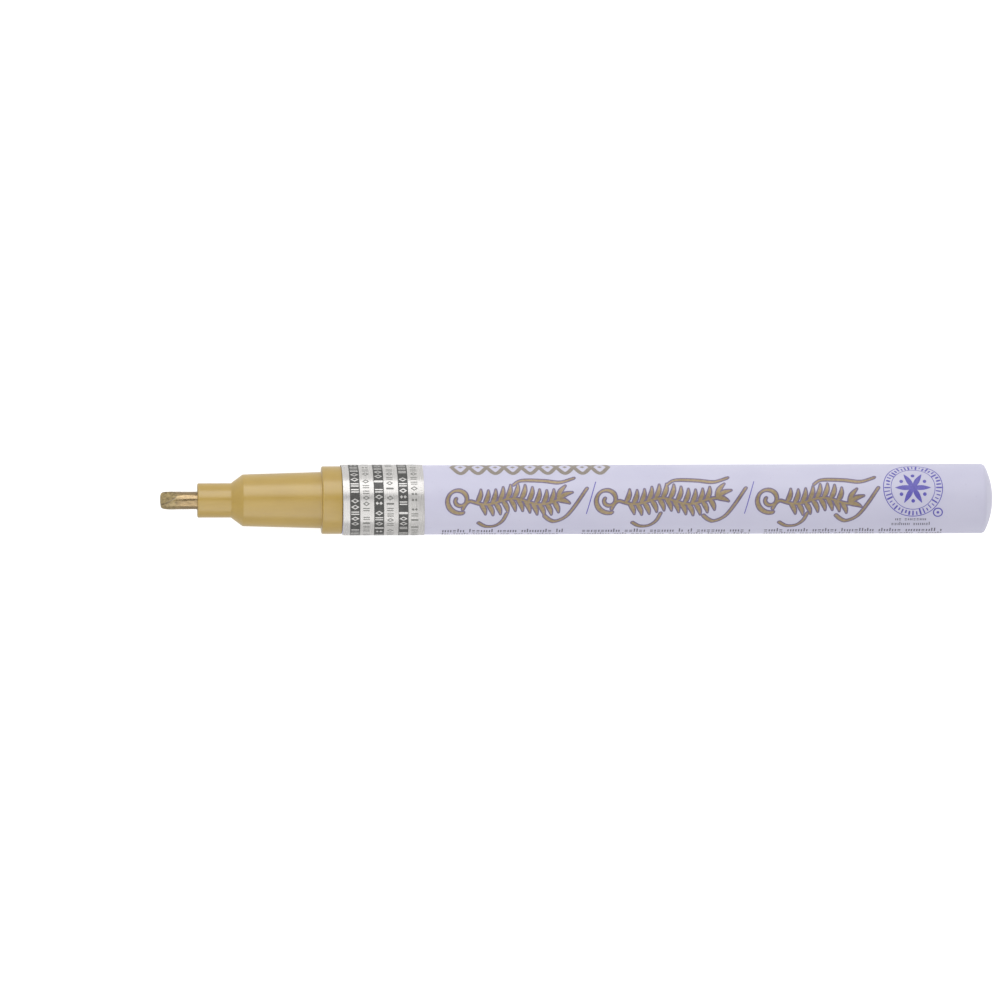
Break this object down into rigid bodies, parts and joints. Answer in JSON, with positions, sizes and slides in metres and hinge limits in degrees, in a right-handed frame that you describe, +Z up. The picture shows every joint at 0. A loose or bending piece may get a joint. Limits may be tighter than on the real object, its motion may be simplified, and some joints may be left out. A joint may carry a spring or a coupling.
{
  "type": "calligraphy marker",
  "caption": "Slim valve-action paint marker with a chisel calligraphy nib, cap off, lying on its side; the nib presses in to open a sprung valve and a ball mixes the paint.",
  "frame": {"origin": "under the middle of the marker's length, on the surface it lies on", "axes": "+X along the marker from the nib to the tail, +Z up from the surface it lies on, the side with the main print facing +Z"},
  "size_m": [0.1142, 0.0096, 0.0097],
  "materials": {
    "nib_fibre": "bonded fibre soaked with wet gold paint",
    "tan_plastic": "satin moulded plastic in the paint's gold-tan colour",
    "barrel_lacquer": "pale lavender lacquer with printed ornament",
    "label_foil": "silver foil label with dark printed bands",
    "black_rubber": "smooth moulded rubber",
    "natural_plastic": "unpigmented moulded plastic",
    "spring_steel": "drawn stainless wire",
    "ball_steel": "polished stainless steel"
  },
  "bodies": {
    "marker_body": {"front_section": "tan_plastic", "barrel": "barrel_lacquer", "neck_label": "label_foil", "packing_ring": "black_rubber", "valve_seat": "black_rubber", "valve_case": "natural_plastic", "valve_spring": "spring_steel"},
    "nib_rod": {"nib": "nib_fibre"},
    "plunger": {"valve_stem": "natural_plastic"},
    "ball": {"mixing_ball": "ball_steel"}
  },
  "joints": [
    {"name": "nib_press", "type": "slide", "parent": "marker_body", "child": "nib_rod", "axis": [1, 0, 0], "range_m": [0, 0.0015], "stiffness_N_per_m": 650, "springref_m": -0.0009},
    {"name": "valve_stem_slide", "type": "slide", "parent": "marker_body", "child": "plunger", "axis": [1, 0, 0], "range_m": [0, 0.0015], "deforming": ["valve_spring"]},
    {"name": "ball_travel", "type": "slide", "parent": "marker_body", "child": "ball", "axis": [1, 0, 0], "range_m": [-0.0542, 0.0104]}
  ],
  "couplings": [
    {"joint": "valve_stem_slide", "follows": "nib_press", "ratio": 1}
  ]
}
